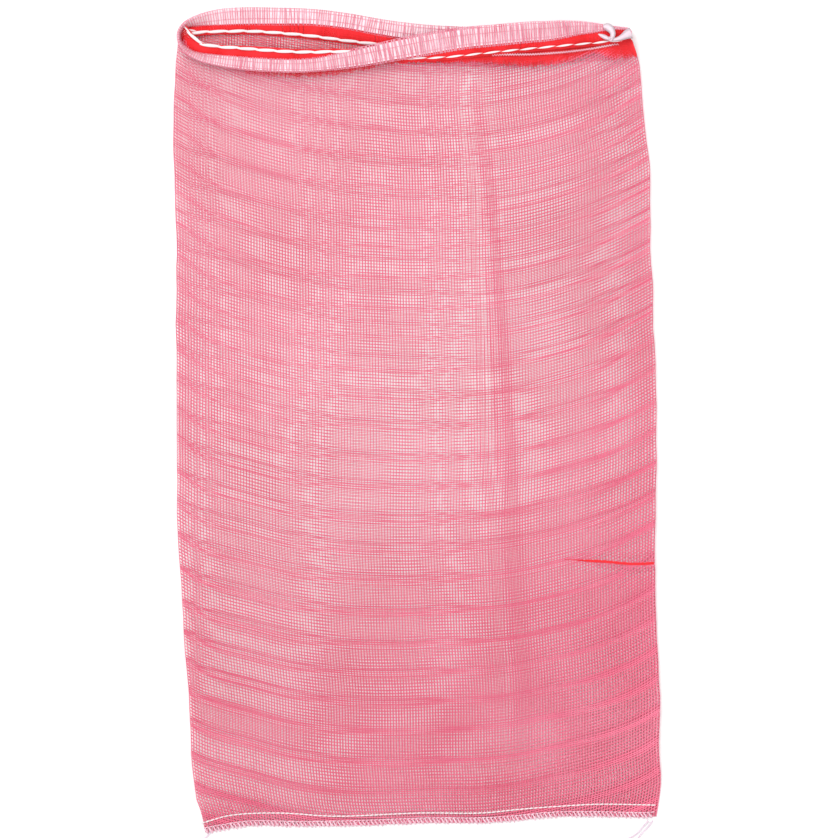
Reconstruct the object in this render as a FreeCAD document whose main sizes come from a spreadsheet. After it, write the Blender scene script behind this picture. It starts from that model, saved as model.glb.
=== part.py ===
import FreeCAD, Part
import Sketcher
import math
import os

# A flat, empty, warp-knitted mesh sack that lies on its back panel.
# +Y points to the mouth, +Z away from the surface it lies on, and the origin is the middle of the underside.

doc = FreeCAD.newDocument("ProduceBag")
sheet = doc.addObject("Spreadsheet::Sheet", "Sizes")

sizes = {
    # knitted tube
    "bag_width": 450,
    "body_thick": 10,
    "fabric_wall": 1,
    "face_cut": 0.2,
    "left_drift": 22,
    "shoulder_step": 22,
    "shoulder_line": 235,
    "waist_line": -130,
    "taper_line": -320,
    # bottom seam allowance
    "seam_line": -366,
    "edge_line": -382,
    "seam_left_drop": 4,
    "seam_right_rise": 6,
    "seam_lift": 0.6,
    "seam_thick": 1.6,
    # mouth and its hem
    "mouth_line": 348,
    "back_rise": 16,
    "hem_depth": 24,
    "hem_thick": 3,
    "hem_wall": 0.7,
    "hem_gap": 0.5,
    "roll_drop": 22,
    "roll_middle": -118,
    "twist_place": 0,
    "corner_width": 10,
    "mouth_narrow": 19,
    # drawstring tape
    "tape_width": 12,
    "tape_thick": 0.8,
    "exit_inset": 24,
    "exit_width": 10,
    "neck_width": 7,
    "neck_clear": 0.5,
    "knot_width": 9,
    "knot_length": 8,
    "knot_height": 2.6,
    "stub_length": 11,
    "stub_width": 5,
    "tail_length": 17,
    "tail_width": 5,
    # sewing threads
    "thread_thick": 0.4,
    "needle_width": 1.2,
    "chain_width": 3,
    "stitch_inset": 3,
    "panel_lap": 2,
    "overlock_width": 6,
    "tail_thread": 1.4,
}
for row, (alias, value) in enumerate(sizes.items(), start=1):
    sheet.set(f"A{row}", alias)
    sheet.set(f"B{row}", str(value))
    sheet.setAlias(f"B{row}", alias)
doc.recompute()

# Sizes that follow from the driving ones. Each is an expression on the sheet's cells.
derived = {
    "half_width": "bag_width / 2",
    "mouth_left": "-half_width",
    "mouth_right": "half_width - mouth_narrow",
    "exit_place": "half_width - mouth_narrow - exit_inset",
    "hem_low": "fabric_wall",
    "hem_top": "fabric_wall + hem_thick",
    "front_low": "body_thick + hem_gap",
    "front_top": "body_thick + hem_gap + hem_thick",
    "tape_back": "fabric_wall + (hem_thick - tape_thick) / 2",
    "tape_front": "body_thick + hem_gap + (hem_thick - tape_thick) / 2",
    "seam_top": "seam_lift + seam_thick",
    "neck_low": "body_thick + hem_gap + hem_thick + neck_clear",
    "tape_inset": "(hem_depth - tape_width) / 2",
}
for row, (alias, formula) in enumerate(derived.items(), start=len(sizes) + 1):
    sheet.set(f"A{row}", alias)
    sheet.set(f"B{row}", "=" + formula)
    sheet.setAlias(f"B{row}", alias)
doc.recompute()


def cells(formula):
    """Puts the sheet's name before every alias in a formula."""
    words, word = [], ""
    for letter in formula + " ":
        if letter.isalnum() or letter == "_":
            word += letter
            continue
        named = word in sizes or word in derived
        words.append(("Sizes." + word if named else word) + letter)
        word = ""
    return "".join(words).strip()


def number(formula):
    """The present value of a formula, worked out in a spare cell."""
    sheet.set("D1", "=" + formula)
    sheet.recompute()
    return float(sheet.get("D1"))


def body(label):
    made = doc.addObject("PartDesign::Body", label)
    made.Label = label
    return made


def plane(owner, role):
    return next(f for f in owner.Origin.OriginFeatures if f.Role == role)


def new_sketch(owner, name, role, lift, sign=1):
    """A sketch on one of the body's own planes, lifted along the plane's normal by a formula."""
    sketch = owner.newObject("Sketcher::SketchObject", name)
    sketch.AttachmentSupport = [(plane(owner, role), "")]
    sketch.MapMode = "FlatFace"
    sketch.AttachmentOffset.Base.z = 0
    sketch.setExpression("AttachmentOffset.Base.z", cells(f"{sign} * ({lift})"))
    return sketch


def pin_point(sketch, geometry, point, across, up):
    """Ties a point of the sketch to two formulas."""
    for kind, formula in (("DistanceX", across), ("DistanceY", up)):
        index = sketch.addConstraint(
            Sketcher.Constraint(kind, -1, 1, geometry, point, number(formula))
        )
        sketch.setExpression(f"Constraints[{index}]", cells(formula))


def polygon(owner, name, role, lift, points, sign=1):
    """A closed outline whose corners are pairs of formulas."""
    sketch = new_sketch(owner, name, role, lift, sign)
    corners = [FreeCAD.Vector(number(x), number(y), 0) for x, y in points]
    for start, end in zip(corners, corners[1:] + corners[:1]):
        sketch.addGeometry(Part.LineSegment(start, end))
    for side in range(len(points)):
        following = (side + 1) % len(points)
        sketch.addConstraint(Sketcher.Constraint("Coincident", side, 2, following, 1))
    for side, (x, y) in enumerate(points):
        pin_point(sketch, side, 1, x, y)
    return sketch


def pad(owner, name, sketch, length):
    made = owner.newObject("PartDesign::Pad", name)
    made.Profile = sketch
    made.setExpression("Length", cells(length))
    return made


def pocket(owner, name, sketch, depth):
    """A pocket that cuts along the sketch's normal."""
    made = owner.newObject("PartDesign::Pocket", name)
    made.Profile = sketch
    made.Reversed = True
    made.setExpression("Length", cells(depth))
    return made


def stadium(owner, name, line, left, right, low, thick):
    """The tube's section at one place along Y: two flat panels and two half-round folds."""
    sketch = new_sketch(owner, name, "XZ_Plane", line, sign=-1)
    radius = number(f"({thick}) / 2")
    bottom = number(low)
    west = number(left) + radius
    east = number(right) - radius
    up = FreeCAD.Vector(0, 0, 1)
    sketch.addGeometry(
        Part.LineSegment(FreeCAD.Vector(west, bottom, 0), FreeCAD.Vector(east, bottom, 0))
    )
    circle = Part.Circle(FreeCAD.Vector(east, bottom + radius, 0), up, radius)
    sketch.addGeometry(Part.ArcOfCircle(circle, -math.pi / 2, math.pi / 2))
    sketch.addGeometry(
        Part.LineSegment(
            FreeCAD.Vector(east, bottom + 2 * radius, 0),
            FreeCAD.Vector(west, bottom + 2 * radius, 0),
        )
    )
    circle = Part.Circle(FreeCAD.Vector(west, bottom + radius, 0), up, radius)
    sketch.addGeometry(Part.ArcOfCircle(circle, math.pi / 2, 3 * math.pi / 2))
    for side in range(4):
        sketch.addConstraint(Sketcher.Constraint("Tangent", side, 2, (side + 1) % 4, 1))
    for arc, place in ((1, f"({right}) - ({thick}) / 2"), (3, f"({left}) + ({thick}) / 2")):
        pin_point(sketch, arc, 3, place, f"({low}) + ({thick}) / 2")
        index = sketch.addConstraint(Sketcher.Constraint("Radius", arc, radius))
        sketch.setExpression(f"Constraints[{index}]", cells(f"({thick}) / 2"))
    return sketch


def loft(owner, name, kind, sections):
    made = owner.newObject(f"PartDesign::{kind}Loft", name)
    made.Profile = sections[0]
    made.Sections = sections[1:]
    made.Ruled = True
    return made


# The knitted tube: two flat panels joined by half-round folds, closed by the seam at the bottom.
tube = body("mesh_body")
left = "-half_width"
seam_left = "left_drift - half_width"
flat_line = "seam_line + seam_right_rise + 2"
low = "-1 * face_cut"
thick = "body_thick + face_cut"
stations = [
    ("mouth_line + back_rise + panel_lap + 2", left, "half_width - shoulder_step", low, thick),
    ("shoulder_line", left, "half_width - shoulder_step / 4", low, thick),
    ("waist_line", left, "half_width", low, thick),
    ("taper_line", "left_drift * 0.75 - half_width", "half_width", low, thick),
    (flat_line, seam_left, "half_width", "seam_lift", "seam_thick"),
    ("edge_line - seam_left_drop - 2", seam_left, "half_width", "seam_lift", "seam_thick"),
]
outer = [stadium(tube, f"Outer{i}", *station) for i, station in enumerate(stations)]
loft(tube, "Skin", "Additive", outer)
inner = [
    stadium(
        tube,
        f"Inner{i}",
        line,
        f"{west} + fabric_wall",
        f"{east} - fabric_wall",
        "fabric_wall",
        "body_thick - 2 * fabric_wall",
    )
    for i, (line, west, east, _, _) in enumerate(stations[:4])
]
closed = "fabric_wall / 4"
inner.append(
    stadium(
        tube,
        "InnerEnd",
        f"{flat_line} + fabric_wall",
        f"{seam_left} + body_thick",
        "half_width - body_thick",
        f"seam_lift + seam_thick / 2 - {closed} / 2",
        closed,
    )
)
loft(tube, "Inside", "Subtractive", inner)


def rectangle(west, east, south, north):
    return [(west, south), (east, south), (east, north), (west, north)]


# The skin starts a little low, and this cut leaves the underside one true plane.
outside = "half_width + 10"
below = polygon(
    tube,
    "UndersideOutline",
    "XY_Plane",
    "-1 - face_cut",
    rectangle(
        f"-({outside})", outside, "edge_line - 40", "mouth_line + back_rise + hem_depth"
    ),
)
pocket(tube, "Underside", below, "1 + face_cut")

# The mouth runs level on the right and rises on the left of the back. It clears the hem's corners.
trim_left = "mouth_left + corner_width + thread_thick + hem_gap"
trim_right = "mouth_right - corner_width - thread_thick - hem_gap"
mouth_trim = polygon(
    tube,
    "MouthTrim",
    "XY_Plane",
    "-1",
    [
        (f"-({outside})", "mouth_line - hem_gap"),
        (trim_left, "mouth_line - hem_gap"),
        (trim_left, "mouth_line + back_rise + panel_lap"),
        ("roll_middle", "mouth_line + back_rise + panel_lap"),
        ("twist_place", "mouth_line + panel_lap"),
        (trim_right, "mouth_line + panel_lap"),
        (trim_right, "mouth_line - hem_gap"),
        (outside, "mouth_line - hem_gap"),
        (outside, "mouth_line + back_rise + hem_depth"),
        (f"-({outside})", "mouth_line + back_rise + hem_depth"),
    ],
)
pocket(tube, "MouthCut", mouth_trim, "body_thick + 2")
edge_trim = polygon(
    tube,
    "EdgeTrim",
    "XY_Plane",
    "-1",
    [
        (f"-({outside})", "edge_line - seam_left_drop"),
        (seam_left, "edge_line - seam_left_drop"),
        ("half_width", "edge_line + seam_right_rise"),
        (outside, "edge_line + seam_right_rise"),
        (outside, "edge_line - seam_left_drop - 20"),
        (f"-({outside})", "edge_line - seam_left_drop - 20"),
    ],
)
pocket(tube, "EdgeCut", edge_trim, "body_thick + 2")

# The lower edge of the hem's back and front halves, between the two corners of the mouth.
back_line = [
    ("roll_middle", "mouth_line + back_rise"),
    ("twist_place", "mouth_line"),
]
front_line = [
    ("roll_middle", "mouth_line - roll_drop"),
    ("twist_place", "mouth_line - roll_drop / 3"),
    ("twist_place + 40", "mouth_line"),
]


def strip(owner, name, feature, line, inset, depth, lift, thick):
    """A band of even depth above a line of stations, as a pad or a pocket."""
    low = [(x, f"{y} + {inset}") for x, y in line]
    high = [(x, f"{y} + {inset} + {depth}") for x, y in reversed(line)]
    outline = polygon(owner, name + "Outline", "XY_Plane", lift, low + high)
    return feature(owner, name, outline, thick)


def mouth_ring(owner, feature, name, inset, depth, side, wide, back, front, thick):
    """A band that goes once round the mouth: back half, front half and a riser at each corner."""
    west = f"mouth_left + {side}"
    east = f"mouth_right - ({side})"
    back_ends = ("mouth_line + back_rise", "mouth_line")
    for half, line, ends, lift in (
        ("Back", back_line, back_ends, back),
        ("Front", front_line, ("mouth_line", "mouth_line"), front),
    ):
        stations = [(west, ends[0])] + line + [(east, ends[1])]
        strip(owner, name + half, feature, stations, inset, depth, lift, thick)
    for corner, place, rise in (("Left", west, "back_rise"), ("Right", f"{east} - {wide}", "0")):
        low = f"mouth_line + {inset}"
        outline = polygon(
            owner,
            name + corner + "Outline",
            "YZ_Plane",
            place,
            [
                (f"{low} + {rise}", back),
                (f"{low} + {rise} + {depth}", back),
                (f"{low} + {depth}", f"{front} + {thick}"),
                (low, f"{front} + {thick}"),
            ],
        )
        feature(owner, name + corner, outline, wide)


# The hem: a tunnel that runs once round the mouth, with a gap at the upper right where the tape comes out.
hem = body("mouth_hem")
mouth_ring(
    hem, pad, "Hem", "0", "hem_depth", "0", "corner_width", "hem_low", "front_low", "hem_thick"
)
mouth_ring(
    hem,
    pocket,
    "Tunnel",
    "hem_wall",
    "(hem_depth - 2 * hem_wall)",
    "hem_wall",
    "(corner_width - 2 * hem_wall)",
    "(hem_low + hem_wall)",
    "(front_low + hem_wall)",
    "(hem_thick - 2 * hem_wall)",
)
exit_low = "mouth_line + hem_depth - 2 * hem_wall"
exit_gap = polygon(
    hem,
    "ExitOutline",
    "XY_Plane",
    "front_low + hem_wall",
    rectangle(
        "exit_place - exit_width / 2",
        "exit_place + exit_width / 2",
        exit_low,
        exit_low + " + 4 * hem_wall",
    ),
)
pocket(hem, "ExitGap", exit_gap, "hem_thick - 2 * hem_wall")

# The drawstring: a flat tape loop in the tunnel, whose two ends come out together and are knotted.
loop = body("drawstring_loop")
mouth_ring(
    loop,
    pad,
    "Tape",
    "tape_inset",
    "tape_width",
    "corner_width / 2",
    "tape_thick",
    "tape_back",
    "tape_front",
    "tape_thick",
)
neck = body("drawstring_neck")
neck_start = "mouth_line + tape_inset + tape_width"
neck_fold = "mouth_line + hem_depth + neck_clear"
knot_top = "mouth_line + hem_depth / 2 + 1"
neck_side = polygon(
    neck,
    "NeckSide",
    "YZ_Plane",
    "exit_place - neck_width / 2",
    [
        (neck_start, "tape_front"),
        (f"{neck_fold} + tape_thick", "tape_front"),
        (f"{neck_fold} + tape_thick", "neck_low + tape_thick"),
        (knot_top, "neck_low + tape_thick"),
        (knot_top, "neck_low"),
        (neck_fold, "neck_low"),
        (neck_fold, "tape_front + tape_thick"),
        (neck_start, "tape_front + tape_thick"),
    ],
)
pad(neck, "Neck", neck_side, "neck_width")

knot = body("drawstring_knot")
knot_left = "exit_place - knot_width / 2"
knot_right = "exit_place + knot_width / 2"
knot_outline = polygon(
    knot,
    "KnotOutline",
    "XY_Plane",
    "neck_low",
    rectangle(knot_left, knot_right, f"{knot_top} - knot_length", knot_top),
)
knot_block = pad(knot, "KnotBlock", knot_outline, "knot_height")
doc.recompute()
knot_round = knot.newObject("PartDesign::Fillet", "KnotRound")
top_edges = [
    f"Edge{i}"
    for i, edge in enumerate(knot_block.Shape.Edges, start=1)
    if edge.BoundBox.ZMin > number("neck_low + knot_height") - 0.01
]
knot_round.Base = (knot_block, top_edges)
knot_round.setExpression("Radius", cells("knot_height / 3"))

stub = body("drawstring_stub")
stub_outline = polygon(
    stub,
    "StubOutline",
    "XY_Plane",
    "neck_low",
    [
        (knot_left, f"{knot_top} - knot_length * 0.7"),
        (knot_left, f"{knot_top} - knot_length * 0.2"),
        (f"{knot_left} - stub_length * 0.8", f"{knot_top} + stub_width * 0.8"),
        (f"{knot_left} - stub_length", f"{knot_top} + stub_width * 0.3"),
        (f"{knot_left} - stub_length * 0.6", f"{knot_top} - stub_width * 0.4"),
    ],
)
pad(stub, "Stub", stub_outline, "tape_thick")
tail = body("drawstring_tail")
tail_outline = polygon(
    tail,
    "TailOutline",
    "XY_Plane",
    "neck_low",
    [
        (knot_right, f"{knot_top} - knot_length * 0.6"),
        (f"{knot_right} + tail_length * 0.6", f"{knot_top} - tail_width * 0.6"),
        (f"{knot_right} + tail_length", f"{knot_top} + tail_width * 1.2"),
        (f"{knot_right} + tail_length * 0.7", f"{knot_top} + tail_width * 1.5"),
        (knot_right, f"{knot_top} - knot_length * 0.2"),
    ],
)
pad(tail, "Tail", tail_outline, "tape_thick")

# The hem's chain stitch: the needle thread lies on the outer faces, the looper thread on the inner ones.
hem_needle = body("hem_needle_thread")
mouth_ring(
    hem_needle,
    pad,
    "HemNeedle",
    "stitch_inset - needle_width / 2",
    "needle_width",
    "-1 * thread_thick",
    "thread_thick",
    "(hem_low - thread_thick)",
    "front_top",
    "thread_thick",
)
hem_looper = body("hem_looper_thread")
mouth_ring(
    hem_looper,
    pad,
    "HemLooper",
    "stitch_inset - chain_width / 2",
    "chain_width",
    "corner_width",
    "thread_thick",
    "hem_top",
    "(front_low - thread_thick)",
    "thread_thick",
)

# The safety seam and the overlocked edge at the bottom.
seam_ends = [
    (seam_left, "seam_line - seam_left_drop"),
    ("half_width", "seam_line + seam_right_rise"),
]
edge_ends = [
    (seam_left, "edge_line - seam_left_drop"),
    ("half_width", "edge_line + seam_right_rise"),
]
under = "seam_lift - thread_thick"
threads = [
    ("seam_needle_thread", seam_ends, "-1 * needle_width / 2", "needle_width", "seam_top"),
    ("seam_looper_thread", seam_ends, "-1 * chain_width / 2", "chain_width", under),
    ("overlock_needle_thread", edge_ends, "overlock_width", "needle_width", "seam_top"),
    ("overlock_upper_looper", edge_ends, "0", "overlock_width", "seam_top"),
    ("overlock_lower_looper", edge_ends, "-1 * thread_thick", "overlock_width + thread_thick", under),
]
for name, ends, inset, depth, lift in threads:
    thread = body(name)
    strip(thread, name + "_strip", pad, ends, inset, depth, lift, "thread_thick")
    if name == "overlock_lower_looper":
        wrap = "seam_thick + 2 * thread_thick"
        strip(thread, name + "_wrap", pad, edge_ends, inset, "thread_thick", lift, wrap)

# Thread ends left at the bottom corners. Each lies on the surface in runs joined by tangent arcs.
tail_routes = {
    "thread_tail_left": [
        (-192, -386.9, 1.3),
        (-196, -392.5, 1),
        (-202, -396.6, 0.75),
        (-209.5, -398.3, 0.75),
        (-216.6, -397, 0.75),
        (-223, -399.6, 0.75),
    ],
    "thread_tail_right_a": [
        (223.5, -377.2, 1.3),
        (219.5, -383.5, 1),
        (213.5, -388.8, 0.75),
        (209, -395.3, 0.75),
        (202.5, -399.5, 0.75),
        (194.8, -400.4, 0.75),
    ],
    "thread_tail_right_b": [
        (219.5, -377.4, 1.3),
        (214.5, -382.5, 1),
        (210, -388.5, 0.75),
        (204, -393, 0.75),
        (196.8, -395.6, 0.75),
        (189.5, -395, 0.75),
    ],
}


def tube_path(points):
    """Straight runs joined by arcs as large as the shorter of each arc's two runs allows."""
    places = [FreeCAD.Vector(*point) for point in points]
    edges, radii = [], []
    start = places[0]
    for before, corner, after in zip(places, places[1:], places[2:]):
        arrive = (corner - before).normalize()
        leave = (after - corner).normalize()
        turn = arrive.getAngle(leave)
        cut = 0.45 * min(corner.distanceToPoint(before), after.distanceToPoint(corner))
        radii.append(cut / math.tan(turn / 2))
        arc_start = corner - arrive * cut
        arc_end = corner + leave * cut
        middle = (arc_start + arc_end) / 2
        depth = cut * math.cos(turn / 2) * math.tan(turn / 4)
        arc_middle = middle + (corner - middle).normalize() * depth
        edges.append(Part.LineSegment(start, arc_start).toShape())
        edges.append(Part.Arc(arc_start, arc_middle, arc_end).toShape())
        start = arc_end
    edges.append(Part.LineSegment(start, places[-1]).toShape())
    return Part.Wire(edges), radii


for name, points in tail_routes.items():
    path, radii = tube_path(points)
    radius = number("tail_thread / 2")
    first = FreeCAD.Vector(*points[0])
    aim = FreeCAD.Vector(*points[1]) - first
    ring = Part.Wire([Part.Circle(first, aim, radius).toShape()])
    cord = doc.addObject("Part::Feature", name)
    cord.Shape = path.makePipeShell([ring], True, False)
    cord.Label = name
    expected = math.pi * radius**2 * path.Length
    print(
        f"{name}: length {path.Length:.1f}, radii {[round(r, 1) for r in radii]},"
        f" volume {cord.Shape.Volume:.1f} against {expected:.1f}"
    )

doc.recompute()

failed = [o.Name for o in doc.Objects if {"Invalid", "Error"} & set(o.State)]
nodes = [o for o in doc.Objects if o.TypeId == "PartDesign::Body" or o.Name in tail_routes]
broken = [o.Label for o in nodes if o.Shape.isNull() or not o.Shape.isValid()]
if failed or broken:
    raise RuntimeError(f"failed objects {failed}, broken shapes {broken}")

os.makedirs("parts", exist_ok=True)
for node in nodes:
    node.Shape.exportStep(f"parts/{node.Label}.step")
    box = node.Shape.BoundBox
    print(
        f"{node.Label}: {len(node.Shape.Solids)} solid, volume {node.Shape.Volume:.0f},"
        f" x {box.XMin:.1f} {box.XMax:.1f}, y {box.YMin:.1f} {box.YMax:.1f},"
        f" z {box.ZMin:.2f} {box.ZMax:.2f}"
    )
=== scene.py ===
import math
import random
import bisect
import bpy
import bmesh
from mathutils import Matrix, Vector, noise


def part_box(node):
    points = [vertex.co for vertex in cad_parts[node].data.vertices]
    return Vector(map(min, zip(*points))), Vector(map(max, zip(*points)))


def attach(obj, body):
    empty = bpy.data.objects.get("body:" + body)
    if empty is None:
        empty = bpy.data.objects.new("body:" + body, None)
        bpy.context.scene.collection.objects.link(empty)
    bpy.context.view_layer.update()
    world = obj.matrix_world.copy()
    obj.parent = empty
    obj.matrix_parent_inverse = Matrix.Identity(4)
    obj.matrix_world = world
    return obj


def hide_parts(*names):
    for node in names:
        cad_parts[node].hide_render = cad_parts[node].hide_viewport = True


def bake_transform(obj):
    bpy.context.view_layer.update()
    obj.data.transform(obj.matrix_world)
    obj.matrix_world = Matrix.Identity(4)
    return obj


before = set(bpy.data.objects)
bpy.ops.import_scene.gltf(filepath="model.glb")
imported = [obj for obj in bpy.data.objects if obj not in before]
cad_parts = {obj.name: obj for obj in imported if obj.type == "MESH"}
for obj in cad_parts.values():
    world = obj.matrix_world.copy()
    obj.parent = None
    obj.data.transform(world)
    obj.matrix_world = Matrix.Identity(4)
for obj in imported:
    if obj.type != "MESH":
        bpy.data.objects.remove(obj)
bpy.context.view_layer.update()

mm = 0.001
scene = bpy.context.scene
bodyLow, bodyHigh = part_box("mesh_body")
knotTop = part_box("drawstring_knot")[1].z
left, right = bodyLow.x, bodyHigh.x
print("frame loaded, body", [round(v, 4) for v in (*bodyLow, *bodyHigh)])

# the camera hangs straight above the bag, in soft light from the upper left
cameraSettings = {"height": 3.2, "frame": 0.7894, "aimX": 3.3 * mm, "aimY": 0.9 * mm, "sensor": 36}
lightSettings = {
    "world": 1.04,
    "keyPlace": (-1.1, 1.3, 2.2), "keyPower": 32, "keySize": 1.4,
    "fillPlace": (1.6, -0.9, 1.8), "fillPower": 9, "fillSize": 2.4,
}


def makeCamera(s):
    data = bpy.data.cameras.new("camera")
    data.sensor_width = s["sensor"]
    data.lens = s["sensor"] * s["height"] / s["frame"]
    camera = bpy.data.objects.new("camera", data)
    camera.location = (s["aimX"], s["aimY"], s["height"])
    scene.collection.objects.link(camera)
    scene.camera = camera


def makeLight(name, place, power, size):
    data = bpy.data.lights.new(name, "AREA")
    data.energy = power
    data.size = size
    lamp = bpy.data.objects.new(name, data)
    lamp.location = place
    lamp.rotation_euler = (-Vector(place)).to_track_quat("-Z", "Y").to_euler()  # aims at the bag's middle
    scene.collection.objects.link(lamp)


def makeStudio(s):
    makeLight("keyLight", s["keyPlace"], s["keyPower"], s["keySize"])
    makeLight("fillLight", s["fillPlace"], s["fillPower"], s["fillSize"])
    world = bpy.data.worlds.new("studio")
    world.use_nodes = True
    background = world.node_tree.nodes["Background"]
    background.inputs["Color"].default_value = (1, 1, 1, 1)
    background.inputs["Strength"].default_value = s["world"]
    scene.world = world
    scene.view_settings.view_transform = "Standard"


makeCamera(cameraSettings)
makeStudio(lightSettings)
print("camera and light made")


# a shader socket that can stand in sums
class Value:
    def __init__(self, tree, socket):
        self.tree = tree
        self.socket = socket

    def maths(self, operation, first, second):
        return node(self.tree, "ShaderNodeMath", {"operation": operation}, {0: first, 1: second})

    def __add__(self, other):
        return self.maths("ADD", self, other)

    def __radd__(self, other):
        return self.maths("ADD", other, self)

    def __sub__(self, other):
        return self.maths("SUBTRACT", self, other)

    def __rsub__(self, other):
        return self.maths("SUBTRACT", other, self)

    def __mul__(self, other):
        return self.maths("MULTIPLY", self, other)

    def __rmul__(self, other):
        return self.maths("MULTIPLY", other, self)


def node(tree, kind, settings, sockets, output=0):
    made = tree.nodes.new(kind)
    for name, value in settings.items():
        if name == "stops":
            ramp = made.color_ramp
            for place, stop in zip((0, 1), value):
                ramp.elements[place].position = stop[0]
                ramp.elements[place].color = (*stop[1], 1)
        else:
            setattr(made, name, value)
    for name, value in sockets.items():
        if isinstance(value, Value):
            tree.links.new(value.socket, made.inputs[name])
        else:
            made.inputs[name].default_value = value
    return Value(tree, made.outputs[output])


def clothMaterial(name, s):
    # fibres run through the yarn; broad clouds change how dense its colour is
    material = bpy.data.materials.new(name)
    material.use_nodes = True
    tree = material.node_tree
    shader = tree.nodes["Principled BSDF"]
    place = node(tree, "ShaderNodeTexCoord", {}, {}, "Object")
    clouds = node(tree, "ShaderNodeTexNoise", {}, {"Vector": place, "Scale": s["cloudScale"], "Detail": 3.0})
    flecks = node(tree, "ShaderNodeTexNoise", {}, {"Vector": place, "Scale": s["fleckScale"], "Detail": 2.0})
    share = clouds * s["cloudShare"] + flecks * (1 - s["cloudShare"])
    colour = node(
        tree,
        "ShaderNodeValToRGB",
        {"stops": [(s["rampLow"], s["dark"]), (s["rampHigh"], s["light"])]},
        {"Fac": share},
    )
    bump = node(
        tree,
        "ShaderNodeBump",
        {},
        {"Height": flecks, "Strength": s["bump"], "Distance": s["bumpDepth"]},
    )
    tree.links.new(colour.socket, shader.inputs["Base Color"])
    tree.links.new(bump.socket, shader.inputs["Normal"])
    rough = s["rough"] + (flecks - 0.5) * s["roughSpread"]
    tree.links.new(rough.socket, shader.inputs["Roughness"])
    shader.inputs["Sheen Weight"].default_value = s["sheen"]
    return material


netFinish = {
    "cloudScale": 9.0, "fleckScale": 900.0, "cloudShare": 0.6, "rampLow": 0.3, "rampHigh": 0.7,
    "dark": (0.82, 0.1, 0.2), "light": (0.94, 0.24, 0.37),
    "bump": 0.5, "bumpDepth": 0.0001, "rough": 0.45, "roughSpread": 0.2, "sheen": 0.15,
}
denseFinish = dict(
    netFinish, cloudScale=60.0, dark=(0.7, 0.002, 0.004), light=(0.96, 0.03, 0.045), sheen=0.0, rough=0.75
)
# a brighter, redder copy of the net colour: painted light that offsets the shade under the hem inside the
# mouth
litTurningFinish = dict(netFinish, dark=(0.94, 0.05, 0.1), light=(1.0, 0.14, 0.22), sheen=0.0)
# the hem's ribs and rows are the same red yarn painted paler: a painted highlight on the rolled hem, varied
# at random by the clouds
highlightRibFinish = dict(netFinish, cloudScale=70.0, dark=(0.72, 0.12, 0.21), light=(0.86, 0.44, 0.54))
threadFinish = dict(
    netFinish, cloudScale=60.0, dark=(0.74, 0.62, 0.64), light=(0.86, 0.78, 0.79), sheen=0.2, rough=0.6
)
tapeFinish = dict(
    netFinish, cloudScale=80.0, fleckScale=500.0, dark=(0.66, 0.47, 0.55), light=(0.8, 0.68, 0.74), rough=0.4
)
pinkThreadFinish = dict(threadFinish, dark=(0.8, 0.36, 0.47), light=(0.9, 0.68, 0.76))
# a lighter, pinker copy of the tape colour: painted light that offsets the shade on the tape inside the
# tunnel
litInnerTapeFinish = dict(tapeFinish, dark=(0.9, 0.7, 0.76), light=(0.97, 0.89, 0.92))
endFinish = dict(threadFinish, dark=(0.62, 0.46, 0.56), light=(0.76, 0.66, 0.74))
netMaterial = clothMaterial("meshYarn", netFinish)
denseMaterial = clothMaterial("gatheredYarn", denseFinish)
litTurningMaterial = clothMaterial("turnedYarn", litTurningFinish)
highlightRibMaterial = clothMaterial("hemYarn", highlightRibFinish)
threadMaterial = clothMaterial("whiteThread", threadFinish)
tapeMaterial = clothMaterial("whiteTape", tapeFinish)
litInnerTapeMaterial = clothMaterial("innerTape", litInnerTapeFinish)
overlockMaterial = clothMaterial("overlockThread", pinkThreadFinish)
endMaterial = clothMaterial("looseThread", endFinish)


def through(points):
    # a smooth line through a few places in mm, level beyond its ends
    xs = [x * mm for x, _ in points]
    ys = [y * mm for _, y in points]
    last = len(xs) - 1
    slopes = []
    for i in range(len(xs)):
        before, after = max(i - 1, 0), min(i + 1, last)
        slopes.append((ys[after] - ys[before]) / (xs[after] - xs[before]))

    def at(x):
        if x <= xs[0]:
            return ys[0]
        if x >= xs[-1]:
            return ys[-1]
        i = bisect.bisect_right(xs, x) - 1
        span = xs[i + 1] - xs[i]
        t = (x - xs[i]) / span
        rise = ys[i + 1] - ys[i]
        start, end = slopes[i] * span, slopes[i + 1] * span
        return ys[i] + start * t + (3 * rise - 2 * start - end) * t**2 + (start + end - 2 * rise) * t**3

    return at


def smooth(low, high, x):
    t = min(max((x - low) / (high - low), 0), 1)
    return t * t * (3 - 2 * t)


# how far each fold lies in from the widest line, bottom to mouth
leftInset = through([
    (-386, 27.5), (-369, 23.6), (-358, 19.4), (-320, 14.5), (-264, 12.6), (-217, 8.2),
    (-160, 5.4), (-110, 1.8), (0, 0.6), (132, 0.2), (188, 0), (245, -2.4), (300, -2),
    (333, 0), (350, 1.6), (370, 3),
])
rightInset = through([
    (-386, 1), (-345, -5.2), (-320, -4.4), (-245, -3.9), (-188, -1), (-94, 0),
    (-38, -1.6), (19, -1), (75, 0.6), (150, 3.6), (188, 4.3), (245, 5.8), (280, 9.8),
    (301, 12.3), (322, 13.4), (333, 14.2), (345, 17.4), (353, 20.5), (372, 23),
])
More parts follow.
